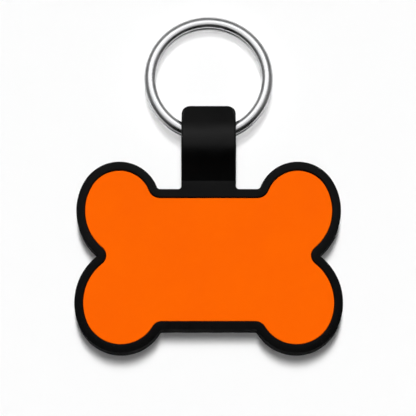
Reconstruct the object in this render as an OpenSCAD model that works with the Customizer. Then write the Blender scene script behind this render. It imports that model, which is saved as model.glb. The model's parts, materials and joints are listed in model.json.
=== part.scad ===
// Bone-shaped pet tag: a soft moulded bone with a raised rim, a coloured face panel set into it,
// a strap that loops round the ring and back, and a two-turn split ring. It lies on its back, X across, Y towards the ring.
// Millimetres. The origin is on the back face, halfway between the two side notches.

/* [Bone outline] */
// Distance from the middle to the centre of an upper lobe's tip arc, across
upper_lobe_x = 13.75; // [13:0.05:14.5]
// Height of that centre above the line through the notches
upper_lobe_y = 8.4; // [7.8:0.1:9]
// Radius of an upper lobe's tip
upper_tip_r = 6.2; // [5.8:0.05:6.7]
// How far the radius of the flank between an upper tip and the notch is over the least that joins the two
upper_flank_ease = 1.3; // [0.5:0.01:2]
// Distance from the middle to the centre of a lower lobe's tip arc, across
lower_lobe_x = 13.4; // [12.8:0.1:14.2]
// Depth of that centre below the line through the notches
lower_lobe_y = 8.1; // [7.6:0.05:8.8]
// Radius of a lower lobe's tip
lower_tip_r = 6.95; // [6.4:0.05:7.4]
// How far the radius of the flank between a lower tip and the notch is over the least that joins the two
lower_flank_ease = 1.2; // [0.5:0.01:2]
// Distance from the middle to the point of a side notch
notch_x = 16.9; // [16.2:0.1:17.6]
// Height of the bar's straight upper edge above the line through the notches
bar_top = 10.3; // [9.6:0.1:11]
// Depth of the bar's straight lower edge below that line
bar_bottom = 11.5; // [10.9:0.05:12.3]
// Fillet between the upper edge and a lobe
top_fillet_r = 0.55; // [0.3:0.05:0.9]
// Fillet between the lower edge and a lobe
bottom_fillet_r = 0.35; // [0.2:0.05:0.7]
// Fillet in the point of a notch
notch_fillet_r = 0.24; // [0.1:0.02:0.4]

/* [Body and panel] */
// Thickness of the tag, back to rim
body_t = 3.8; // [3.4:0.1:4.6]
// Width of the raised rim
rim_w = 1.3; // [1.1:0.05:1.7]
// How far the panel's face lies below the rim
recess_depth = 0.3; // [0.2:0.05:0.8]
// Thickness of the face panel
panel_t = 1; // [0.6:0.05:1.2]
// Rounding of the rim's outer edge
rim_edge_r = 0.25; // [0.15:0.05:0.35]
// Rounding of the rim's inner edge
rim_inner_edge_r = 0.15; // [0.05:0.05:0.2]
// Rounding of the edge round the back
back_edge_r = 0.3; // [0.15:0.05:0.5]
// Rounding of the panel's edge
panel_edge_r = 0.08; // [0.04:0.02:0.15]
// Gap between the panel's edge and the rim
panel_gap = 0.05; // [0.03:0.01:0.1]

/* [Strap] */
// Width of the strap and of the neck that it starts from
strap_w = 8.4; // [7:0.1:9]
// Thickness of the strap
strap_t = 1.2; // [0.9:0.05:1.5]
// Thickness of the tail that runs back under the tag
tail_t = 0.9; // [0.7:0.05:1.1]
// How far the neck stands out of the bar's upper edge
neck_l = 1.3; // [0.8:0.1:1.8]
// How far the strap's far end lies beyond the bar's upper edge
strap_reach = 13.05; // [12.5:0.05:15]
// How far the far end lies beyond the ring's pivot
far_beyond_pivot = 3.85; // [3.6:0.05:5]
// Height of the far end above the back
far_h = 4.4; // [4:0.1:5]
// Rounding of the far end's upper and lower edges
far_edge_r = 0.5; // [0.3:0.05:0.8]
// Rounding inside the far end
far_inner_r = 0.25; // [0.1:0.05:0.4]
// Radius of the strap's back over the ring
crown_r = 9; // [7:0.5:12]
// Radius of the shoulder where the back turns down to the neck
shoulder_r = 6; // [3:0.5:7]
// How far the crest of the back leads the pivot, towards the bone
crest_lead = 2.2; // [1:0.1:2.6]
// Step down from the rim to the strap where it leaves the neck
crease_step = 0.1; // [0:0.02:0.2]
// Radius of the far end's corners, seen from the front
far_corner_r = 1.35; // [0.8:0.05:1.8]
// Rounding of the strap's long edges
strap_edge_r = 0.3; // [0.15:0.05:0.4]
// Fillet between the neck and the bar
neck_fillet_r = 0.5; // [0.3:0.05:0.9]
// Length of the tail that is bonded into the back
tail_l = 8; // [5:0.5:9.5]
// How far the tail draws in from each side of the strap
tail_inset = 0.6; // [0.5:0.05:1]
// Gap round the tail in its seat
seat_gap = 0.06; // [0.03:0.01:0.12]

/* [Split ring] */
// Outer diameter of the ring
ring_d = 20; // [18:0.5:24]
// Width of the flattened wire, in the ring's plane
wire_w = 1.75; // [1.5:0.05:2]
// Thickness of one turn of the wire
wire_t = 1.15; // [1.05:0.05:1.3]
// Gap between the two turns
turn_gap = 0.08; // [0.04:0.01:0.15]
// Rounding of the wire's edges
wire_edge_r = 0.5; // [0.3:0.05:0.55]
// Angle over which the wire crosses from one turn to the other
crossover_angle = 36; // [30:1:44]
// Angle left free between each cut end and the crossing wire
end_angle = 1; // [0.5:0.5:3]
// Gap round the ring as it turns in the loop
pivot_gap = 0.07; // [0.05:0.01:0.15]

/* [Hidden] */

// Steps along the arcs of the outlines and along the wire
seat_steps = 2;
fillet_steps = 4;
tip_steps = 16;
flank_steps = 10;
notch_steps = 6;
back_steps = 6;
far_steps = 4;
wire_step_angle = 6;
corner_steps = 2;

// Largest rounding of the strap's edges, as a share of its thickness
edge_share = 1 / 3;

// Levels of the body, from the back face up
panel_top = body_t - recess_depth;
tray_floor = panel_top - panel_t;

// The strap's neck ends where the arch begins
neck_end = bar_top + neck_l;
strap_half = strap_w / 2;
tail_half = strap_half - tail_inset;
tail_end = bar_top - tail_l;
seat_half = tail_half + seat_gap;
seat_end = tail_end - seat_gap;

// The part of the wire that lies inside the loop spans this much, measured inwards from the ring's edge
ring_r = ring_d / 2;
hole_r = ring_r - wire_w;
ring_t = 2 * wire_t + turn_gap;
span_in_loop = ring_r - sqrt(pow(hole_r, 2) - pow(strap_half, 2));
swept_r = norm([span_in_loop / 2 - wire_edge_r, ring_t / 2 - wire_edge_r]) + wire_edge_r;
tunnel_r = swept_r + pivot_gap;

// The pivot that the ring swings on, in the loop
pivot_r = ring_r - span_in_loop / 2;
far_y = bar_top + strap_reach;
pivot_y = far_y - far_beyond_pivot;
pivot_z = tail_t + tunnel_r;

// At rest the far side of the ring lies on what the tag lies on
tilt_arm = pivot_r + ring_r - wire_edge_r;
tilt_drop = ring_t / 2 - wire_edge_r;
ring_tilt = asin((pivot_z - wire_edge_r) / norm([tilt_arm, tilt_drop])) - atan2(tilt_drop, tilt_arm);

// Circles that the strap's outer face follows, in the plane of Y and Z: shoulder, back, and the far end's edges.
// The back's circle comes closest to the ring on its far side, where it is clear_r from the pivot
clear_r = tunnel_r + strap_t;
neck_top = [neck_end, body_t - crease_step];
crown_c = [pivot_y - crest_lead, pivot_z - sqrt(pow(crown_r - clear_r, 2) - pow(crest_lead, 2))];
shoulder_c = crown_c + [0, crown_r - shoulder_r];
far_top = [far_y - far_edge_r, far_h - far_edge_r];
far_low = [far_y - far_edge_r, far_edge_r];

// Points on an arc about c, from angle a0 up to but not including a1
function arc(c, r, a0, a1, n) =
    [for (i = [0:n - 1]) let (a = a0 + (a1 - a0) * i / n) c + r * [cos(a), sin(a)]];

// Direction of v, in degrees
function heading(v) = atan2(v[1], v[0]);

// Where two circles cross, on the side that lies furthest along X
function crossing(c1, r1, c2, r2) =
    let (d = c2 - c1, l = norm(d), u = d / l, a = (l * l + r1 * r1 - r2 * r2) / (2 * l))
    let (h = sqrt(r1 * r1 - a * a), foot = c1 + a * u, side = [-u[1], u[0]])
    side[0] > 0 ? foot + h * side : foot - h * side;

// Direction from a tip's centre to the point where its arc runs into the flank's,
// so that the flank passes through the notch. turn is 1 above the notch and -1 below it
function join_angle(tip, tip_r, flank_r, notch, turn) =
    let (d = notch - tip, step = flank_r - tip_r)
    let (along = (flank_r * flank_r - step * step - d * d) / (2 * step))
    heading(d) + turn * acos(along / norm(d));

// Centre of a fillet between a lobe's tip and a straight edge at height y. The fillet lies beyond the edge
function edge_fillet(tip, tip_r, y, r, turn) =
    let (cy = y + turn * r) [tip[0] - sqrt(pow(tip_r + r, 2) - pow(cy - tip[1], 2)), cy];

// The centres and the directions that every parallel curve of the outline shares
upper_tip = [upper_lobe_x, upper_lobe_y];
lower_tip = [lower_lobe_x, -lower_lobe_y];
notch = [notch_x, 0];
upper_flank_r = (norm(notch - upper_tip) + upper_tip_r) / 2 + upper_flank_ease;
lower_flank_r = (norm(notch - lower_tip) + lower_tip_r) / 2 + lower_flank_ease;
upper_join = join_angle(upper_tip, upper_tip_r, upper_flank_r, notch, 1);
lower_join = join_angle(lower_tip, lower_tip_r, lower_flank_r, notch, -1);
upper_flank = upper_tip - (upper_flank_r - upper_tip_r) * [cos(upper_join), sin(upper_join)];
lower_flank = lower_tip - (lower_flank_r - lower_tip_r) * [cos(lower_join), sin(lower_join)];
notch_c = crossing(upper_flank, upper_flank_r + notch_fillet_r, lower_flank, lower_flank_r + notch_fillet_r);
top_fillet = edge_fillet(upper_tip, upper_tip_r, bar_top, top_fillet_r, 1);
bottom_fillet = edge_fillet(lower_tip, lower_tip_r, -bar_bottom, bottom_fillet_r, -1);
top_fillet_dir = heading(top_fillet - upper_tip);
bottom_fillet_dir = heading(bottom_fillet - lower_tip);
upper_notch_dir = heading(notch_c - upper_flank);
lower_notch_dir = heading(notch_c - lower_flank);

// How the outline runs at its top middle: along the bar, round the neck, or round the neck and the tail's seat.
// All three have as many points. The neck's end is a flat face against the strap, so only its sides are drawn in
BAR = 0;
NECK = 1;
SEAT = 2;
top_count = seat_steps + fillet_steps + 4;
function top_middle(inset, top) =
    top == BAR ? [for (i = [0:top_count - 1]) [(strap_half + neck_fillet_r) * i / (top_count - 1), bar_top - inset]]
    : concat(
        [for (i = [0:seat_steps]) [seat_half * i / seat_steps, top == SEAT ? seat_end : neck_end]],
        [[seat_half, neck_end], [strap_half - inset, neck_end]],
        arc([strap_half + neck_fillet_r, bar_top + neck_fillet_r], neck_fillet_r + inset, 180, 270, fillet_steps),
        [[strap_half + neck_fillet_r, bar_top - inset]]);

// Right half of the bone, drawn in by inset, from the top middle round to the bottom middle
function half_bone(inset, top) =
    concat(
        top_middle(inset, top),
        arc(top_fillet, top_fillet_r + inset, 270, top_fillet_dir + 180, fillet_steps),
        arc(upper_tip, upper_tip_r - inset, top_fillet_dir, upper_join, tip_steps),
        arc(upper_flank, upper_flank_r - inset, upper_join, upper_notch_dir, flank_steps),
        arc(notch_c, notch_fillet_r + inset, upper_notch_dir + 180, lower_notch_dir + 180, notch_steps),
        arc(lower_flank, lower_flank_r - inset, lower_notch_dir, lower_join, flank_steps),
        arc(lower_tip, lower_tip_r - inset, lower_join, bottom_fillet_dir, tip_steps),
        arc(bottom_fillet, bottom_fillet_r + inset, bottom_fillet_dir + 180, 90, fillet_steps),
        [[bottom_fillet[0], inset - bar_bottom], [0, inset - bar_bottom]]);

// Places along the half outline where the hub of the caps' fans changes
upper_start = top_count + fillet_steps;
notch_middle = upper_start + tip_steps + flank_steps + notch_steps / 2;
lower_end = upper_start + 2 * tip_steps + 2 * flank_steps + notch_steps;
half_count = lower_end + fillet_steps + 2;
ring_count = 2 * half_count - 2;

function bone(inset, top) =
    let (half = half_bone(inset, top))
    concat(half, [for (i = [half_count - 2:-1:1]) [-half[i][0], half[i][1]]]);

// Fans that close one ring of points. Each side has three hubs: one in the bar and its two lobes' centres
right_hubs = [[top_fillet[0], 0], upper_tip, lower_tip];
hub_points = concat(right_hubs, [for (h = right_hubs) [-h[0], h[1]]]);
function hub_of(i) =
    let (right = i < half_count - 1, j = right ? i : ring_count - 1 - i)
    (j < upper_start || j >= lower_end ? 0 : j < notch_middle ? 1 : 2) + (right ? 0 : len(right_hubs));
function cap(first, hubs) =
    concat(
        [for (i = [0:ring_count - 1]) [first + i, first + (i + 1) % ring_count, hubs + hub_of(i)]],
        [for (i = [0:ring_count - 1]) let (before = hub_of((i + ring_count - 1) % ring_count), after = hub_of(i))
            if (before != after) [first + i, hubs + after, hubs + before]],
        [[hubs, hubs + 1, hubs + 2], [hubs + 3, hubs + 5, hubs + 4]]);
function reversed(faces) = [for (f = faces) [f[2], f[1], f[0]]];

// Skin between closed rings of n points each
function skin(rings, n) =
    [for (k = [0:rings - 2], i = [0:n - 1], half = [0, 1])
        let (a = k * n + i, b = k * n + (i + 1) % n, c = a + n, d = b + n)
        half == 0 ? [a, b, c] : [b, d, c]];

// Solid lofted through a profile of [inset, height, top] rows, closed below and above
module bone_loft(profile) {
    rings = len(profile);
    hubs = rings * ring_count;
    points = concat(
        [for (row = profile, p = bone(row[0], row[2])) [p[0], p[1], row[1]]],
        [for (h = hub_points) [h[0], h[1], profile[0][1]]],
        [for (h = hub_points) [h[0], h[1], profile[rings - 1][1]]]);
    faces = concat(
        skin(rings, ring_count),
        reversed(cap(0, hubs)),
        cap((rings - 1) * ring_count, hubs + len(hub_points)));
    polyhedron(points = points, faces = faces, convexity = 8);
}

// Rows of a rounded edge: quarter turn of radius r about [inset, height]
function edge_rows(inset, height, r, a0, a1, top) =
    [for (i = [0:corner_steps]) let (a = a0 + (a1 - a0) * i / corner_steps)
        [inset + r * cos(a), height + r * sin(a), top]];

// The seat in the back is open under the neck's end
module bone_body() {
    color([0.09, 0.09, 0.1])
    bone_loft(concat(
        edge_rows(back_edge_r, back_edge_r, back_edge_r, 270, 180, SEAT),
        [[0, tail_t + seat_gap, SEAT], [0, tail_t + seat_gap, NECK]],
        edge_rows(rim_edge_r, body_t - rim_edge_r, rim_edge_r, 180, 90, NECK),
        edge_rows(rim_w - rim_inner_edge_r, body_t - rim_inner_edge_r, rim_inner_edge_r, 90, 0, BAR),
        [[rim_w, tray_floor, BAR]]));
}

module face_panel() {
    edge = rim_w + panel_gap;
    color([1, 0.4, 0])
    bone_loft(concat(
        [[edge, tray_floor, BAR]],
        edge_rows(edge + panel_edge_r, panel_top - panel_edge_r, panel_edge_r, 180, 90, BAR)));
}

// Direction square to the line that touches two circles from above
function tangent_normal(c1, r1, c2, r2) =
    let (d = c2 - c1) heading(d) + acos((r1 - r2) / norm(d));

// Stations along the strap: [point on its outer face, point on its inner face], from angle a0 to a1
function wrap(outer_c, outer_r, inner_c, inner_r, a0, a1, n) =
    [for (i = [0:n]) let (a = a0 + (a1 - a0) * i / n, u = [cos(a), sin(a)])
        [outer_c + outer_r * u, inner_c + inner_r * u]];

shoulder_normal = tangent_normal(neck_top, 0, shoulder_c, shoulder_r);
far_normal = tangent_normal(crown_c, crown_r, far_top, far_edge_r);

// Centres of the roundings inside the far end
far_u = [cos(far_normal), sin(far_normal)];
inner_y = far_y - strap_t - far_inner_r;
inner_top = [inner_y, (far_top * far_u + far_edge_r - strap_t - far_inner_r - inner_y * far_u[0]) / far_u[1]];
inner_low = [inner_y, tail_t + far_inner_r];

crest_normal = 90;
stations = concat(
    [[neck_top, neck_top - [0, strap_t / sin(shoulder_normal)]]],
    wrap(shoulder_c, shoulder_r, shoulder_c, shoulder_r - strap_t, shoulder_normal, crest_normal, back_steps),
    [for (i = [1:back_steps]) wrap(crown_c, crown_r, crown_c, crown_r - strap_t, crest_normal, far_normal,
        back_steps)[i]],
    wrap(far_top, far_edge_r, inner_top, far_inner_r, far_normal, 0, far_steps),
    wrap(far_low, far_edge_r, inner_low, far_inner_r, 0, -90, far_steps),
    [[[tail_end, 0], [tail_end, tail_t]]]);

// Share of the strap's width at y, which draws in round the far end's corners
function drawn_in(y) =
    let (past = min(far_corner_r, max(0, y - far_y + far_corner_r)))
    1 - (far_corner_r - sqrt(pow(far_corner_r, 2) - pow(past, 2))) / strap_half;

// Rounded oblong about its middle, as [across, up]
function oblong(w, h, r) =
    [for (q = [[1, 1, 0], [-1, 1, 90], [-1, -1, 180], [1, -1, 270]], i = [0:corner_steps])
        let (a = q[2] + 90 * i / corner_steps)
        [q[0] * (w / 2 - r) + r * cos(a), q[1] * (h / 2 - r) + r * sin(a)]];

section_count = 4 * (corner_steps + 1);

// Solid swept through sections of the same number of points, with flat ends
module swept(sections, n) {
    last = (len(sections) - 1) * n;
    polyhedron(
        points = [for (s = sections, p = s) p],
        faces = concat(
            skin(len(sections), n),
            [for (i = [1:n - 2]) [0, i + 1, i]],
            [for (i = [1:n - 2]) [last, last + i, last + i + 1]]),
        convexity = 10);
}

module hanger_strap() {
    color([0.08, 0.08, 0.09])
    swept([for (s = stations)
        let (t = norm(s[1] - s[0]), up = (s[0] - s[1]) / t, middle = (s[0] + s[1]) / 2)
        let (half = s[0][1] < far_low[1] ? tail_half : strap_half)
        [for (p = oblong(2 * half, t, min(strap_edge_r, t * edge_share)))
            let (q = middle + p[1] * up) [p[0] * drawn_in(q[0]), q[0], q[1]]]], section_count);
}

// The wire runs from its cut end on the upper turn, through the crossover, to the end of the lower turn.
// The crossover and both ends lie inside the loop
loop_dir = 270;
wire_start = loop_dir + crossover_angle / 2 + end_angle;
cross_start = loop_dir + 360 - crossover_angle / 2;
wire_stop = cross_start + 360 - end_angle;
wire_steps = ceil((wire_stop - wire_start) / wire_step_angle);

function turn_height(a) =
    let (s = min(1, max(0, (a - cross_start) / crossover_angle)))
    (wire_t + turn_gap) * (1 / 2 - s * s * (3 - 2 * s));

module split_ring() {
    color([0.78, 0.79, 0.81])
    translate([0, pivot_y, pivot_z])
    rotate([-ring_tilt, 0, 0])
    translate([0, pivot_r, 0])
    swept([for (i = [0:wire_steps])
        let (a = wire_start + (wire_stop - wire_start) * i / wire_steps, r = ring_r - wire_w / 2)
        [for (p = oblong(wire_w, wire_t, wire_edge_r))
            [(r + p[0]) * cos(a), (r + p[0]) * sin(a), turn_height(a) + p[1]]]],
        section_count);
}

bone_body();
face_panel();
hanger_strap();
split_ring();
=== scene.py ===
"""Bone-shaped pet tag with an orange face, and a strap that loops round a steel split ring.

The tag lies on its back on a pale floor, X across, Y towards the ring, Z up. Lengths are in metres.
"""

import json
import math

import bmesh
import bpy
from mathutils import Matrix, Vector


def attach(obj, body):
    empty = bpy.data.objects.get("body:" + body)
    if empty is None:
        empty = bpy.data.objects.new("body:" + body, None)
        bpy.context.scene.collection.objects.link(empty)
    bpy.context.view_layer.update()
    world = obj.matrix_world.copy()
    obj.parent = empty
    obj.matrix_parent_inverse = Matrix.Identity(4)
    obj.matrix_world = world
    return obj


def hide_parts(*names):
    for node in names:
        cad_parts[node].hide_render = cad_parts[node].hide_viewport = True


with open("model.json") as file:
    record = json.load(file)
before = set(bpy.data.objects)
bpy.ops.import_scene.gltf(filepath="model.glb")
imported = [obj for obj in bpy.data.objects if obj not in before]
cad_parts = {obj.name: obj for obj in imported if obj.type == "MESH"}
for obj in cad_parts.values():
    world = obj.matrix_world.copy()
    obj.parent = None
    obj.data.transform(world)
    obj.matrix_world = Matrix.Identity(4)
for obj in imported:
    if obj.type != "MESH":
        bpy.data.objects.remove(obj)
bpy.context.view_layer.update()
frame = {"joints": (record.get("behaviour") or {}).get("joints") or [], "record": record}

MM = 0.001

# The bone's outline: tips and flanks of the lobes, notches, bar and fillets
UPPER_TIP = Vector((13.75, 8.4)) * MM
UPPER_TIP_R = 6.2 * MM
UPPER_FLANK_EASE = 1.3 * MM
LOWER_TIP = Vector((13.4, -8.1)) * MM
LOWER_TIP_R = 6.95 * MM
LOWER_FLANK_EASE = 1.2 * MM
NOTCH = Vector((16.9, 0)) * MM
NOTCH_FILLET_R = 0.24 * MM
UPPER_FLANK_R = ((NOTCH - UPPER_TIP).length + UPPER_TIP_R) / 2 + UPPER_FLANK_EASE
LOWER_FLANK_R = ((NOTCH - LOWER_TIP).length + LOWER_TIP_R) / 2 + LOWER_FLANK_EASE
BAR_TOP = 10.3 * MM
BAR_BOTTOM = 11.5 * MM
TOP_FILLET_R = 0.55 * MM
BOTTOM_FILLET_R = 0.35 * MM

# The body and the panel set into it
BODY_T = 3.8 * MM
RIM_W = 1.3 * MM
RECESS = 0.3 * MM
PANEL_T = 1.0 * MM
PANEL_GAP = 0.05 * MM
RIM_EDGE_R = 0.25 * MM
RIM_INNER_EDGE_R = 0.15 * MM
BACK_EDGE_R = 0.3 * MM
PANEL_EDGE_R = 0.08 * MM
TRAY_FLOOR = BODY_T - RECESS - PANEL_T

# The neck and the strap that leaves it
STRAP_W = 8.4 * MM
STRAP_T = 1.2 * MM
TAIL_T = 0.9 * MM
TAIL_INSET = 0.6 * MM
TAIL_L = 8.0 * MM
SEAT_GAP = 0.06 * MM
NECK_L = 1.3 * MM
NECK_FILLET_R = 0.5 * MM
FAR_Y = BAR_TOP + 13.05 * MM
FAR_H = 4.4 * MM
FAR_EDGE_R = 0.5 * MM
FAR_INNER_R = 0.25 * MM
FAR_CORNER_R = 1.35 * MM
CROWN_R = 9.0 * MM
SHOULDER_R = 6.0 * MM
CREST_LEAD = 2.2 * MM
CREASE_STEP = 0.1 * MM
STRAP_EDGE_R = 0.3 * MM
RUBBED_SHEEN_W = 0.3 * MM
NECK_END = BAR_TOP + NECK_L

# The split ring. Directions round it are in degrees, and the loop holds it at LOOP_DIR
RING_R = 10.0 * MM
WIRE_W = 1.75 * MM
WIRE_T = 1.15 * MM
TURN_GAP = 0.08 * MM
LOOP_DIR = 270
CROSSOVER = 36
END_ANGLE = 1
WIRE_MID_R = RING_R - WIRE_W / 2
TURN_RISE = WIRE_T + TURN_GAP
WIRE_START = LOOP_DIR + CROSSOVER / 2 + END_ANGLE
CROSS_START = LOOP_DIR + 360 - CROSSOVER / 2
WIRE_STOP = CROSS_START + 360 - END_ANGLE

# The pivot that the ring swings on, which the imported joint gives
PIVOT = Vector(frame["joints"][0]["pos_m"])

# Steps along the curves
FILLET_STEPS = 12
TIP_STEPS = 56
FLANK_STEPS = 36
NOTCH_STEPS = 16
NECK_STEPS = 8
RIM_STEPS = 6
RIM_INNER_STEPS = 5
BACK_STEPS = 5
PANEL_STEPS = 4
STRAP_EDGE_STEPS = 6
STRAP_SIDE_CUTS = 4
ARCH_STEPS = 14
FAR_STEPS = 10
WIRE_SIDES = 40
TURN_STEPS = 130
CROSSOVER_STEPS = 20

# Points nearer to each other than this are in one place
NEAR = MM / 1000

# A face is level when its normal's Z is above the first, and upright when it is below the second
LEVEL = 0.9
UPRIGHT = 0.1

# Edges sharper than this stay sharp in the shading, in degrees
SHARP_ANGLE = 40

# Bends of the surface, in degrees, at which the rubbed look and the painted edge highlight start
# and are full
WEAR_SHEEN_FROM, WEAR_SHEEN_FULL = 5, 12

# How far the seat's cutter runs out past the neck's end
SEAT_OVERRUN = 1 * MM

# The floor's half width, and how far it lies below the tag's back
FLOOR_HALF = 1.5
FLOOR_DROP = 0.02 * MM

# Soft lamps: lean to the ring's side and width, in degrees, strength, and whether they shine
# through the ring
LAMPS = (
    (-9, 14, 0.43, True),
    (11, 8, 0.573, False),
    (18, 8, 0.962, True),
    (25, 8, 1.065, False),
    (32, 8, 0.276, True),
)

# Sheen panels: their Y, height, length and glow, and the width and X that they share
SHEEN_PANELS = (
    (80 * MM, 90 * MM, 36 * MM, 2.3),
    (37 * MM, 100 * MM, 50 * MM, 1.0),
)
SHEEN_W = 90 * MM
SHEEN_X = -5 * MM


def heading(v):
    """Direction of a flat vector, in degrees."""
    return math.degrees(math.atan2(v[1], v[0]))


def towards(angle, length=1.0):
    """Flat vector of that direction and length."""
    return Vector((math.cos(math.radians(angle)), math.sin(math.radians(angle)))) * length


def spaced(start, stop, steps):
    """Evenly spaced values from start to stop, both included."""
    return [start + (stop - start) * i / steps for i in range(steps + 1)]


def eased(share):
    return share * share * (3 - 2 * share)


def only(geom, kind):
    """The vertices, the edges or the faces in what an operator gave back."""
    return [g for g in geom if isinstance(g, kind)]


def join_angle(tip, tip_r, flank_r, turn):
    """Direction from a tip's centre to where its arc runs into the flank through the notch."""
    reach = NOTCH - tip
    step = flank_r - tip_r
    along = (flank_r ** 2 - step ** 2 - reach.length_squared) / (2 * step)
    return heading(reach) + turn * math.degrees(math.acos(along / reach.length))


def crossing(c1, r1, c2, r2):
    """Where two circles cross, on the side further along X."""
    gap = c2 - c1
    foot = (gap.length_squared + r1 ** 2 - r2 ** 2) / (2 * gap.length)
    side = Vector((-gap.y, gap.x)).normalized() * math.sqrt(r1 ** 2 - foot ** 2)
    middle = c1 + gap.normalized() * foot
    return middle + side if side.x > 0 else middle - side


def edge_fillet(tip, tip_r, y, r, turn):
    """Centre of the fillet between a lobe's tip and a straight edge at y."""
    cy = y + turn * r
    return Vector((tip.x - math.sqrt((tip_r + r) ** 2 - (cy - tip.y) ** 2), cy))


def line_to(bm, end, x, y):
    """Draws a straight edge on from the vertex end."""
    new = bmesh.ops.extrude_vert_indiv(bm, verts=[end])["verts"][0]
    new.co = (x, y, 0)
    return new


def arc_on(bm, end, centre, angle, steps):
    """Draws an arc on from the vertex end, about a centre, through an angle in degrees."""
    drawn = bmesh.ops.spin(bm, geom=[end], cent=(*centre, 0), axis=(0, 0, 1),
                           angle=math.radians(angle), steps=steps, use_duplicate=False)
    return drawn["geom_last"][0]


def draw_bone(bm, neck):
    """Fills the bone's outline at z = 0 with one face, with the strap's neck or without it."""
    upper_join = join_angle(UPPER_TIP, UPPER_TIP_R, UPPER_FLANK_R, 1)
    lower_join = join_angle(LOWER_TIP, LOWER_TIP_R, LOWER_FLANK_R, -1)
    upper_flank = UPPER_TIP - towards(upper_join, UPPER_FLANK_R - UPPER_TIP_R)
    lower_flank = LOWER_TIP - towards(lower_join, LOWER_FLANK_R - LOWER_TIP_R)
    notch = crossing(upper_flank, UPPER_FLANK_R + NOTCH_FILLET_R,
                     lower_flank, LOWER_FLANK_R + NOTCH_FILLET_R)
    top = edge_fillet(UPPER_TIP, UPPER_TIP_R, BAR_TOP, TOP_FILLET_R, 1)
    bottom = edge_fillet(LOWER_TIP, LOWER_TIP_R, -BAR_BOTTOM, BOTTOM_FILLET_R, -1)
    top_dir, bottom_dir = heading(top - UPPER_TIP), heading(bottom - LOWER_TIP)
    upper_notch, lower_notch = heading(notch - upper_flank), heading(notch - lower_flank)

    end = bm.verts.new((0, NECK_END if neck else BAR_TOP, 0))
    if neck:
        root = (STRAP_W / 2 + NECK_FILLET_R, BAR_TOP + NECK_FILLET_R)
        end = line_to(bm, end, STRAP_W / 2, NECK_END)
        end = line_to(bm, end, STRAP_W / 2, root[1])
        end = arc_on(bm, end, root, 90, NECK_STEPS)
    end = line_to(bm, end, top.x, BAR_TOP)
    end = arc_on(bm, end, top, top_dir - 90, FILLET_STEPS)
    end = arc_on(bm, end, UPPER_TIP, upper_join - top_dir, TIP_STEPS)
    end = arc_on(bm, end, upper_flank, upper_notch - upper_join, FLANK_STEPS)
    end = arc_on(bm, end, notch, lower_notch - upper_notch, NOTCH_STEPS)
    end = arc_on(bm, end, lower_flank, lower_join - lower_notch, FLANK_STEPS)
    end = arc_on(bm, end, LOWER_TIP, bottom_dir - lower_join, TIP_STEPS)
    end = arc_on(bm, end, bottom, -90 - bottom_dir, FILLET_STEPS)
    line_to(bm, end, 0, -BAR_BOTTOM)
    bmesh.ops.mirror(bm, geom=bm.verts[:] + bm.edges[:], axis="X", merge_dist=NEAR)
    bmesh.ops.remove_doubles(bm, verts=bm.verts[:], dist=NEAR)
    face = bmesh.ops.contextual_create(bm, geom=bm.edges[:])["faces"][0]
    if face.normal.z < 0:
        bmesh.ops.reverse_faces(bm, faces=[face])
    return face


def raise_face(bm, face, lift):
    """Extrudes a face by a lift along Z and returns the face at the far end."""
    grown = bmesh.ops.extrude_face_region(bm, geom=[face, *face.edges])["geom"]
    bmesh.ops.translate(bm, verts=only(grown, bmesh.types.BMVert), vec=(0, 0, lift))
    return only(grown, bmesh.types.BMFace)[0]


def round_off(bm, geom, radius, steps, affect="EDGES"):
    bmesh.ops.bevel(bm, geom=geom, offset=radius, offset_type="OFFSET", affect=affect,
                    segments=steps, profile=0.5, material=-1, clamp_overlap=True)


def inset(bm, face, width):
    bmesh.ops.inset_region(bm, faces=[face], thickness=width, use_boundary=True,
                           use_even_offset=True)


def new_object(name, data):
    made = bpy.data.objects.new(name, data)
    bpy.context.scene.collection.objects.link(made)
    return made


def placed(bm, name):
    """An object with the mesh that bm holds."""
    mesh = bpy.data.meshes.new(name)
    bm.to_mesh(mesh)
    bm.free()
    return new_object(name, mesh)


def mesh_wear_sheen(bm):
    """How far each vertex lies on a rounded edge, from 0 on a flat to 1, for the rubbed look and
    the painted edge highlight.
    """
    start, full = math.radians(WEAR_SHEEN_FROM), math.radians(WEAR_SHEEN_FULL)
    bends = [max((abs(e.calc_face_angle(0)) for e in v.link_edges), default=0.0) for v in bm.verts]
    return [min(1.0, max(0.0, (bend - start) / (full - start))) for bend in bends]


def mesh_flank(bm):
    """How upright the surface is at each vertex, from 0 where a face is level to 1 on a wall."""
    return [1 - min(1.0, max(abs(f.normal.z) for f in v.link_faces)) for v in bm.verts]


def give(piece, name, values):
    """Gives a piece's vertices a number each, for its material to read."""
    made = piece.data.attributes.new(name, "FLOAT", "POINT")
    made.data.foreach_set("value", values)


def finished(bm, name, material, body, node):
    """Turns a bmesh into a piece that stands for a CAD node, with round edges and flat flats."""
    bmesh.ops.recalc_face_normals(bm, faces=bm.faces[:])
    for face in bm.faces:
        face.smooth = True
    wear_sheen, flank = mesh_wear_sheen(bm), mesh_flank(bm)
    piece = placed(bm, name)
    give(piece, "edge_wear_sheen", wear_sheen)
    give(piece, "flank", flank)
    piece.data.set_sharp_from_angle(angle=math.radians(SHARP_ANGLE))
    piece.data.materials.append(material)
    flats = piece.modifiers.new("Flat flats", "WEIGHTED_NORMAL")
    flats.keep_sharp = True
    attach(piece, body)
    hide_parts(node)
    return piece


# Shaders

def put(tree, kind, sockets=None, **settings):
    """Adds a node. sockets gives its inputs values, or other nodes' outputs to link."""
    made = tree.nodes.new(kind)
    for key, value in settings.items():
        setattr(made, key, value)
    for key, value in (sockets or {}).items():
        if isinstance(value, bpy.types.NodeSocket):
            tree.links.new(value, made.inputs[key])
        else:
            made.inputs[key].default_value = value
    return made


def calc(tree, operation, *values, **settings):
    """Result of a sum on values or other nodes' outputs."""
    return put(tree, "ShaderNodeMath", dict(enumerate(values)), operation=operation,
               **settings).outputs[0]


def attribute(tree, name):
    """A number that the mesh's vertices were given."""
    return put(tree, "ShaderNodeAttribute", attribute_type="GEOMETRY",
               attribute_name=name).outputs["Fac"]


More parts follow.
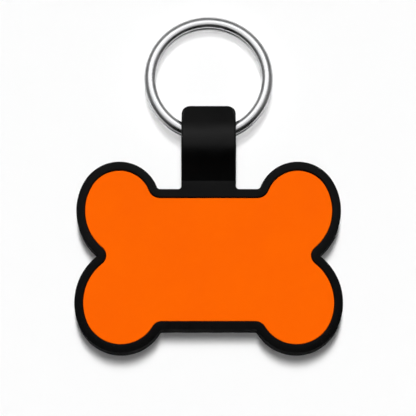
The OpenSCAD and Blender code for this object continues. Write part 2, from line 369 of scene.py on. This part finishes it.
def noise(tree, place, **sockets):
    return put(tree, "ShaderNodeTexNoise", {"Vector": place, **sockets}).outputs["Fac"]


def mix_colours(tree, mask, first, second):
    ends = [c if isinstance(c, bpy.types.NodeSocket) else (*c, 1) for c in (first, second)]
    return put(tree, "ShaderNodeMix", {0: mask, 6: ends[0], 7: ends[1]},
               data_type="RGBA").outputs[2]


def map_range(tree, value, start, stop, low, high, **settings):
    """Maps a value from start to stop onto low to high."""
    return put(tree, "ShaderNodeMapRange", {
        "Value": value, "From Min": start, "From Max": stop, "To Min": low, "To Max": high},
        **settings).outputs["Result"]


def ranged(tree, value, low, high):
    """Maps a noise value, which lies at about 0.3 to 0.7, onto low to high."""
    return map_range(tree, value, 0.3, 0.7, low, high)


def smooth_step(tree, value, start, stop, low=0.0, high=1.0):
    """Eases from low to high while the value goes from start to stop."""
    return map_range(tree, value, start, stop, low, high, interpolation_type="SMOOTHSTEP")


def group(name, outputs, **inputs):
    """A node group with a vector input, float inputs and float outputs, and its ends' sockets."""
    tree = bpy.data.node_groups.new(name, "ShaderNodeTree")
    tree.interface.new_socket(name="Vector", in_out="INPUT", socket_type="NodeSocketVector")
    for label, value in inputs.items():
        socket = tree.interface.new_socket(name=label, in_out="INPUT",
                                           socket_type="NodeSocketFloat")
        socket.default_value = value
    for label in outputs:
        tree.interface.new_socket(name=label, in_out="OUTPUT", socket_type="NodeSocketFloat")
    given, result = tree.nodes.new("NodeGroupInput"), tree.nodes.new("NodeGroupOutput")
    return tree, given.outputs, result.inputs


def mould_grain_group():
    """Fine pits and bumps of a spark-eroded mould, and a slow drift in tone."""
    tree, given, result = group("Mould grain", ["Height", "Tone", "Fine"],
                                Grain=7000.0, Drift=180.0)
    fine = noise(tree, given["Vector"], Scale=given["Grain"], Detail=3.0, Roughness=0.6)
    pits = put(tree, "ShaderNodeTexVoronoi", {"Vector": given["Vector"], "Scale": given["Grain"]})
    pit_share = 0.4
    height = calc(tree, "MULTIPLY_ADD", pits.outputs["Distance"], pit_share, fine)
    tree.links.new(height, result["Height"])
    tree.links.new(noise(tree, given["Vector"], Scale=given["Drift"], Detail=4.0), result["Tone"])
    tree.links.new(fine, result["Fine"])
    return tree


def edge_wear_sheen_group():
    """Mask of rounded edges, for rubbed wear and a painted highlight, broken up by noise."""
    tree, given, result = group("Edge wear and sheen", ["Mask"], Amount=0.5)
    patches = noise(tree, given["Vector"], Scale=900.0, Detail=4.0)
    broken = calc(tree, "MULTIPLY", attribute(tree, "edge_wear_sheen"), patches)
    mask = calc(tree, "MULTIPLY", broken, given["Amount"], use_clamp=True)
    tree.links.new(mask, result["Mask"])
    return tree


def shader(name, **constants):
    """A material whose Principled BSDF has those sockets set, its tree, and the BSDF's inputs."""
    material = bpy.data.materials.new(name)
    material.use_nodes = True
    surface = material.node_tree.nodes["Principled BSDF"].inputs
    for key, value in constants.items():
        surface[key.replace("_", " ")].default_value = value
    return material, material.node_tree, surface


def bump(tree, surface, height, strength, depth):
    made = put(tree, "ShaderNodeBump", {"Strength": strength, "Distance": depth, "Height": height})
    tree.links.new(made.outputs["Normal"], surface["Normal"])


def silicone(name, *, deep, pale, rubbed_sheen, rough, grain, wear_sheen_amount, specular):
    """Moulded silicone with the mould's grain, slow drift in tone, and paler edges: partly rubbed
    wear, partly a painted highlight.
    """
    material, tree, surface = shader(name, Specular_IOR_Level=specular, IOR=1.5)
    place = put(tree, "ShaderNodeTexCoord").outputs["Object"]
    skin = put(tree, "ShaderNodeGroup", {"Vector": place, "Grain": grain},
               node_tree=MOULD_GRAIN).outputs
    worn_sheen = put(tree, "ShaderNodeGroup", {"Vector": place, "Amount": wear_sheen_amount},
               node_tree=EDGE_WEAR_SHEEN).outputs["Mask"]
    tone = mix_colours(tree, ranged(tree, skin["Tone"], low=0, high=1), deep, pale)
    # Paler edges: rubbed wear, and on the strap also a painted highlight along its rounded edges
    tree.links.new(mix_colours(tree, worn_sheen, tone, rubbed_sheen), surface["Base Color"])

    drift, by_grain, by_wear, by_flank = 0.08, 0.1, -0.1, 0.75
    roughness = ranged(tree, skin["Tone"], rough - drift, rough + drift)
    for mask, change in ((skin["Fine"], by_grain), (worn_sheen, by_wear),
                         (attribute(tree, "flank"), by_flank)):
        roughness = calc(tree, "MULTIPLY_ADD", mask, change, roughness, use_clamp=True)
    tree.links.new(roughness, surface["Roughness"])
    bump(tree, surface, skin["Height"], strength=0.35, depth=0.012 * MM)
    return material


def plated_steel():
    """Plated wire with faint draw lines, uneven polish, and painted shade between its two turns."""
    material, tree, surface = shader("Plated steel wire", Metallic=1.0)
    lines = put(tree, "ShaderNodeCombineXYZ", {
        "X": attribute(tree, "along_wire"), "Y": attribute(tree, "around_wire")})
    stretched = put(tree, "ShaderNodeMapping", {"Vector": lines.outputs[0], "Scale": (250, 14, 1)})
    drawn = noise(tree, stretched.outputs[0], Scale=1.0, Detail=5.0, Roughness=0.65)
    place = put(tree, "ShaderNodeTexCoord").outputs["Object"]
    patches = put(tree, "ShaderNodeGroup", {"Vector": place, "Drift": 260.0},
                  node_tree=MOULD_GRAIN).outputs["Tone"]

    dull, bright = (0.6, 0.605, 0.615), (0.66, 0.66, 0.665)
    line, groove_shade = (0.4, 0.405, 0.415), (0.02, 0.02, 0.02)
    lined = ranged(tree, drawn, low=0.45, high=-0.1)
    # Painted shade: the wire's colour goes almost black where it faces the other turn, darkening
    # the gap between the turns
    shaded_groove = smooth_step(tree, attribute(tree, "groove"), start=0.55, stop=0.9)
    tone = mix_colours(tree, ranged(tree, patches, low=0, high=1), dull, bright)
    tone = mix_colours(tree, lined, tone, line)
    tree.links.new(mix_colours(tree, shaded_groove, tone, groove_shade), surface["Base Color"])
    roughness = calc(tree, "ADD", ranged(tree, drawn, low=0.22, high=0.3),
                     ranged(tree, patches, low=0, high=0.04))
    tree.links.new(roughness, surface["Roughness"])
    bump(tree, surface, drawn, strength=0.25, depth=0.003 * MM)
    return material


MOULD_GRAIN = mould_grain_group()
EDGE_WEAR_SHEEN = edge_wear_sheen_group()
BLACK = silicone(
    "Black silicone", deep=(0.001, 0.001, 0.001), pale=(0.0016, 0.0016, 0.0018),
    rubbed_sheen=(0.006, 0.006, 0.0062), rough=0.27, grain=7000.0, wear_sheen_amount=0.5, specular=0.078)
BLACK_STRIP = silicone(
    "Black silicone strip", deep=(0.0005, 0.0005, 0.0005), pale=(0.0009, 0.0009, 0.001),
    rubbed_sheen=(0.006, 0.006, 0.0062), rough=0.3, grain=9000.0, wear_sheen_amount=0.5, specular=0.148)
ORANGE = silicone(
    "Orange silicone", deep=(0.97, 0.12, 0.0), pale=(0.99, 0.129, 0.0),
    rubbed_sheen=(1.0, 0.15, 0.004), rough=0.55, grain=8000.0, wear_sheen_amount=0.3, specular=0.03)
STEEL = plated_steel()


# Pieces

def is_outer_edge(edge, height):
    """Is this an edge of the outer wall at that height, other than the neck's end?"""
    on_level = all(abs(v.co.z - height) < NEAR for v in edge.verts)
    at_neck_end = all(abs(v.co.y - NECK_END) < NEAR for v in edge.verts)
    has_wall = any(abs(f.normal.z) < UPRIGHT for f in edge.link_faces)
    return on_level and has_wall and not at_neck_end


def is_inner_rim(edge):
    """Is this an edge between the rim's top and the recess's wall?"""
    on_level = all(abs(v.co.z - BODY_T) < NEAR for v in edge.verts)
    walls = [f for f in edge.link_faces if abs(f.normal.z) < UPRIGHT]
    return (on_level and len(walls) == 1
            and any(abs(v.co.z - TRAY_FLOOR) < NEAR for v in walls[0].verts))


def cut_seat(piece):
    """Cuts the seat for the strap's tail into the body's back, open under the neck's end."""
    half = STRAP_W / 2 - TAIL_INSET + SEAT_GAP
    start = BAR_TOP - TAIL_L - SEAT_GAP
    stop = NECK_END + SEAT_OVERRUN
    depth = TAIL_T + SEAT_GAP
    bm = bmesh.new()
    bmesh.ops.create_cube(bm, size=1)
    bmesh.ops.scale(bm, verts=bm.verts[:], vec=(2 * half, stop - start, 2 * depth))
    bmesh.ops.translate(bm, verts=bm.verts[:], vec=(0, (stop + start) / 2, 0))
    cutter = placed(bm, "seat_cutter")
    cut = piece.modifiers.new("Seat", "BOOLEAN")
    cut.operation = "DIFFERENCE"
    cut.solver = "EXACT"
    cut.object = cutter
    piece.modifiers.move(len(piece.modifiers) - 1, 0)
    with bpy.context.temp_override(object=piece, active_object=piece, selected_objects=[piece]):
        bpy.ops.object.modifier_apply(modifier="Seat")
    mesh = cutter.data
    bpy.data.objects.remove(cutter)
    bpy.data.meshes.remove(mesh)


def tag_body():
    """The black moulding: bone with a neck, a raised rim, a recess for the panel and a seat."""
    bm = bmesh.new()
    top = raise_face(bm, draw_bone(bm, neck=True), BODY_T)

    # The recess follows the bone alone, so the neck is parted from the top face first
    root = STRAP_W / 2 + NECK_FILLET_R
    roots = [v for v in top.verts
             if abs(abs(v.co.x) - root) < NEAR and abs(v.co.y - BAR_TOP) < NEAR]
    bmesh.ops.connect_verts(bm, verts=roots)
    tops = [f for f in bm.faces if f.normal.z > LEVEL and f.calc_center_median().z > BODY_T / 2]
    bone = max(tops, key=lambda f: f.calc_area())

    rim_outer = [e for e in bm.edges if is_outer_edge(e, BODY_T)]
    back = [e for e in bm.edges if is_outer_edge(e, 0)]
    inset(bm, bone, RIM_W)
    raise_face(bm, bone, TRAY_FLOOR - BODY_T)
    round_off(bm, rim_outer, RIM_EDGE_R, RIM_STEPS)
    rim_inner = [e for e in bm.edges if is_inner_rim(e)]
    round_off(bm, rim_inner, RIM_INNER_EDGE_R, RIM_INNER_STEPS)
    round_off(bm, back, BACK_EDGE_R, BACK_STEPS)
    cut_seat(finished(bm, "tag_body", BLACK, "tag", "bone_body"))


def orange_face():
    """The orange panel, a little inside the rim."""
    bm = bmesh.new()
    outline = draw_bone(bm, neck=False)
    inset(bm, outline, RIM_W + PANEL_GAP)
    bmesh.ops.delete(bm, geom=[f for f in bm.faces if f != outline], context="FACES")
    bmesh.ops.translate(bm, verts=bm.verts[:], vec=(0, 0, TRAY_FLOOR))
    top = raise_face(bm, outline, PANEL_T)
    round_off(bm, top.edges[:], PANEL_EDGE_R, PANEL_STEPS)
    finished(bm, "orange_face", ORANGE, "tag", "face_panel")


def sweep(bm, places):
    """Carries bm's flat section through places, one matrix each, and closes the far end."""
    bmesh.ops.transform(bm, matrix=places[0], verts=bm.verts[:])
    edges = [e for e in bm.edges if e.is_boundary]
    for last, here in zip(places, places[1:]):
        grown = bmesh.ops.extrude_edge_only(bm, edges=edges)["geom"]
        edges = only(grown, bmesh.types.BMEdge)
        bmesh.ops.transform(bm, matrix=here @ last.inverted(),
                            verts=only(grown, bmesh.types.BMVert))
    bmesh.ops.contextual_create(bm, geom=edges)


def tangent_normal(c1, r1, c2, r2):
    """Direction square to the line that touches two circles from above, in degrees from +Y."""
    gap = c2 - c1
    return heading(gap) + math.degrees(math.acos((r1 - r2) / gap.length))


def bend(outer_c, outer_r, inner_c, inner_r, start, stop, steps):
    """Points on the strap's outer and inner faces round a bend, from one direction to another."""
    return [(outer_c + towards(a, outer_r), inner_c + towards(a, inner_r))
            for a in spaced(start, stop, steps)]


def strap_stations():
    """Points on the strap's outer and inner faces in Y and Z, from the neck to the tail's end.

    Two arcs, the shoulder and the crown, carry it over the ring's wire. It turns down at the far
    end and comes back along the floor.
    """
    pivot = Vector((PIVOT.y, PIVOT.z))
    clear_r = pivot.y - TAIL_T + STRAP_T
    crown = pivot - Vector((CREST_LEAD, math.sqrt((CROWN_R - clear_r) ** 2 - CREST_LEAD ** 2)))
    shoulder = crown + Vector((0, CROWN_R - SHOULDER_R))
    far_top = Vector((FAR_Y - FAR_EDGE_R, FAR_H - FAR_EDGE_R))
    far_low = Vector((FAR_Y - FAR_EDGE_R, FAR_EDGE_R))
    neck_top = Vector((NECK_END, BODY_T - CREASE_STEP))
    rise = tangent_normal(neck_top, 0, shoulder, SHOULDER_R)
    fall = tangent_normal(crown, CROWN_R, far_top, FAR_EDGE_R)

    # The inner bend at the far end touches the inner face that comes down from the crown
    out = towards(fall)
    inner_y = FAR_Y - STRAP_T - FAR_INNER_R
    inner_reach = far_top.dot(out) + FAR_EDGE_R - STRAP_T - FAR_INNER_R
    inner_top = Vector((inner_y, (inner_reach - inner_y * out.x) / out.y))
    inner_low = Vector((inner_y, TAIL_T + FAR_INNER_R))

    neck_low = neck_top - Vector((0, STRAP_T / math.sin(math.radians(rise))))
    tail_end = BAR_TOP - TAIL_L
    return [
        (neck_top, neck_low),
        *bend(shoulder, SHOULDER_R, shoulder, SHOULDER_R - STRAP_T, rise, 90, ARCH_STEPS),
        *bend(crown, CROWN_R, crown, CROWN_R - STRAP_T, 90, fall, ARCH_STEPS)[1:],
        *bend(far_top, FAR_EDGE_R, inner_top, FAR_INNER_R, fall, 0, FAR_STEPS),
        *bend(far_low, FAR_EDGE_R, inner_low, FAR_INNER_R, 0, -90, FAR_STEPS),
        (Vector((tail_end, 0)), Vector((tail_end, TAIL_T))),
    ]


def strap_place(outer, inner):
    """Where the strap's section goes between those two points, narrower along the tail."""
    up, middle = outer - inner, (outer + inner) / 2
    low = min(1, max(0, 1 - outer.y / FAR_EDGE_R))
    return (Matrix.Translation((0, *middle)) @ Matrix.Rotation(math.radians(heading(up)), 4, "X")
            @ Matrix.Diagonal((1 - low * TAIL_INSET / (STRAP_W / 2), up.length / STRAP_T, 1, 1)))


def strap_loop():
    """The strap: from the neck's end over the ring's wire, down the far end and back as a tail."""
    bm = bmesh.new()
    bmesh.ops.create_grid(bm, x_segments=1, y_segments=1, size=0.5)
    bmesh.ops.scale(bm, verts=bm.verts[:], vec=(STRAP_W, STRAP_T, 1))
    round_off(bm, bm.verts[:], STRAP_EDGE_R, STRAP_EDGE_STEPS, affect="VERTICES")
    sides = [e for e in bm.edges
             if abs(abs(e.verts[0].co.x + e.verts[1].co.x) - STRAP_W) < NEAR]
    bmesh.ops.subdivide_edges(bm, edges=sides, cuts=STRAP_SIDE_CUTS)

    # Cuts along the strap keep the rubbed look and the painted highlight at its edges
    rubbed_sheen = STRAP_W / 2 - STRAP_EDGE_R - RUBBED_SHEEN_W
    for x in (-rubbed_sheen, rubbed_sheen):
        bmesh.ops.bisect_plane(bm, geom=bm.verts[:] + bm.edges[:] + bm.faces[:],
                               plane_co=(x, 0, 0), plane_no=(1, 0, 0))
    sweep(bm, [strap_place(outer, inner) for outer, inner in strap_stations()])

    # Seen from the front, the far end's corners are rounded
    for v in bm.verts:
        past = min(FAR_CORNER_R, max(0, v.co.y - FAR_Y + FAR_CORNER_R))
        inwards = FAR_CORNER_R - math.sqrt(FAR_CORNER_R ** 2 - past ** 2)
        v.co.x *= 1 - inwards / (STRAP_W / 2)
    finished(bm, "strap_loop", BLACK_STRIP, "tag", "hanger_strap")


def wire_place(angle):
    """Where the wire's section goes at that direction, on the turns' height or crossing it."""
    crossed = eased(min(1, max(0, (angle - CROSS_START) / CROSSOVER)))
    return (Matrix.Rotation(math.radians(angle), 4, "Z")
            @ Matrix.Translation((WIRE_MID_R, 0, TURN_RISE * (0.5 - crossed)))
            @ Matrix.Rotation(math.radians(90), 4, "X"))


def mount_place(name):
    return next(m["pos_m"] for m in frame["record"]["mounts"] if m["name"] == name)


def ring_wire():
    """The split ring: oval wire that goes round twice and crosses to its lower turn in the loop."""
    bm = bmesh.new()
    bmesh.ops.create_circle(bm, cap_ends=True, segments=WIRE_SIDES, radius=1)
    bmesh.ops.scale(bm, verts=bm.verts[:], vec=(WIRE_W / 2, WIRE_T / 2, 1))
    cross_stop = CROSS_START + CROSSOVER
    sweep(bm, [wire_place(a) for a in (
        *spaced(WIRE_START, CROSS_START, TURN_STEPS)[:-1],
        *spaced(CROSS_START, cross_stop, CROSSOVER_STEPS)[:-1],
        *spaced(cross_stop, WIRE_STOP, TURN_STEPS))])

    # Draw lines run along the wire, so each vertex knows how far round the ring and round the wire
    # it lies. It knows too how squarely it faces the other turn, where the material paints shade
    along, around, groove = [], [], []
    for v in bm.verts:
        turn = math.copysign(1, v.co.z)
        off = Vector((v.co.xy.length - WIRE_MID_R, v.co.z - turn * TURN_RISE / 2))
        along.append(math.radians(heading(v.co.xy)) * WIRE_MID_R)
        around.append(math.atan2(off.y, off.x))
        groove.append(max(0.0, -turn * off.y / (WIRE_T / 2)))

    centre = Vector(mount_place("ring_opening"))
    tilt = math.atan2(centre.z - PIVOT.z, centre.y - PIVOT.y)
    bmesh.ops.transform(bm, verts=bm.verts[:],
                        matrix=Matrix.Translation(centre) @ Matrix.Rotation(tilt, 4, "X"))
    piece = finished(bm, "ring_wire", STEEL, "ring", "split_ring")
    give(piece, "along_wire", along)
    give(piece, "around_wire", around)
    give(piece, "groove", groove)
    return piece


# Floor, light and camera

def floor():
    """A wide pale floor, a hair below the tag's back."""
    bm = bmesh.new()
    bmesh.ops.create_grid(bm, x_segments=1, y_segments=1, size=FLOOR_HALF)
    bmesh.ops.translate(bm, verts=bm.verts[:], vec=(0, 0, -FLOOR_DROP))
    laid = placed(bm, "floor")
    laid.data.materials.append(shader("Pale floor", Base_Color=(0.98, 0.98, 0.98, 1), Roughness=1.0,
                                      Specular_IOR_Level=0.0)[0])


def key_lights(ring):
    """Soft lamps high up, in a row that leans to the ring's side, so shadows soften downwards.

    The thin ring shades only two of them, which keeps its shadow as light as a wire's is in a wide
    studio.
    """
    past_ring = bpy.data.collections.new("lit past the ring")
    past_ring.objects.link(ring)
    past_ring.collection_objects[0].light_linking.link_state = "EXCLUDE"
    for lean, width, strength, passes in LAMPS:
        lamp = bpy.data.lights.new("key", "SUN")
        lamp.energy = strength
        lamp.angle = math.radians(width)
        lit = new_object("key", lamp)
        lit.rotation_euler = (math.radians(-lean), 0, 0)
        lit.visible_glossy = False
        if passes:
            lit.light_linking.blocker_collection = past_ring


def sheen_panels():
    """Two bright panels near the ring's side that only glossy surfaces see.

    They are near, so their sheen fades down the picture.
    """
    for y, z, length, glow in SHEEN_PANELS:
        lamp = bpy.data.lights.new("sheen panel", "AREA")
        lamp.shape = "RECTANGLE"
        lamp.size, lamp.size_y = SHEEN_W, length
        lamp.energy = glow * math.pi * SHEEN_W * length
        hung = new_object("sheen panel", lamp)
        hung.location = (SHEEN_X, y, z)
        hung.rotation_euler = (-math.atan2(y - PIVOT.y, z), 0, 0)
        hung.visible_camera = hung.visible_diffuse = False


def studio():
    """White to the camera. Glossy surfaces see grey, and a pale strip low on a dark near side."""
    world = bpy.data.worlds.new("Studio")
    bpy.context.scene.world = world
    world.use_nodes = True
    tree = world.node_tree
    tree.nodes.clear()
    way = put(tree, "ShaderNodeTexCoord").outputs["Generated"]

    def lobe(tilt, inner, outer, inside, outside):
        """Brightness inside and outside a cone about a direction that leans from +Z towards +Y.

        It eases from one to the other between two angles from that direction.
        """
        middle = (0, math.sin(math.radians(tilt)), math.cos(math.radians(tilt)))
        near = put(tree, "ShaderNodeVectorMath", {0: way, 1: middle}, operation="DOT_PRODUCT")
        return smooth_step(tree, near.outputs["Value"], math.cos(math.radians(outer)),
                           math.cos(math.radians(inner)), outside, inside)

    overhead = lobe(tilt=15, inner=8, outer=70, inside=0.2, outside=0.25)
    strip = lobe(tilt=-88, inner=6, outer=22, inside=0.8, outside=0.0)
    forward = put(tree, "ShaderNodeSeparateXYZ", {"Vector": way}).outputs["Y"]
    lit_side = smooth_step(tree, forward, start=-0.4, stop=0.2)
    grey = calc(tree, "ADD", calc(tree, "MULTIPLY", overhead, lit_side), strip)

    diffuse_share = 0.12
    path = put(tree, "ShaderNodeLightPath").outputs
    share = calc(tree, "MULTIPLY_ADD", path["Is Diffuse Ray"], diffuse_share - 1, 1.0)
    strength = calc(tree, "MAXIMUM", calc(tree, "MULTIPLY", grey, share), path["Is Camera Ray"])
    sky = put(tree, "ShaderNodeBackground", {"Color": (1, 1, 1, 1), "Strength": strength})
    put(tree, "ShaderNodeOutputWorld", {"Surface": sky.outputs[0]})


def camera():
    """Looks down on the tag from its near side, as the photograph does.

    It leans about a point on the tag and is turned a little past that point, towards the ring.
    """
    lean, turned_past, distance = 9.4, 1.0157, 420 * MM
    x, y, z = -0.1 * MM, 0.1 * MM, 2 * MM
    focal_px, frame_px, sensor_mm = 2730, 416, 36
    view = bpy.data.cameras.new("camera")
    view.sensor_width = sensor_mm
    view.lens = focal_px * sensor_mm / frame_px
    eye = new_object("camera", view)
    eye.location = (x, y - math.sin(math.radians(lean)) * distance,
                    z + math.cos(math.radians(lean)) * distance)
    eye.rotation_euler = (math.radians(lean + turned_past), 0, 0)
    bpy.context.scene.camera = eye


tag_body()
orange_face()
strap_loop()
ring = ring_wire()
floor()
key_lights(ring)
sheen_panels()
studio()
camera()
bpy.context.scene.view_settings.view_transform = "Standard"
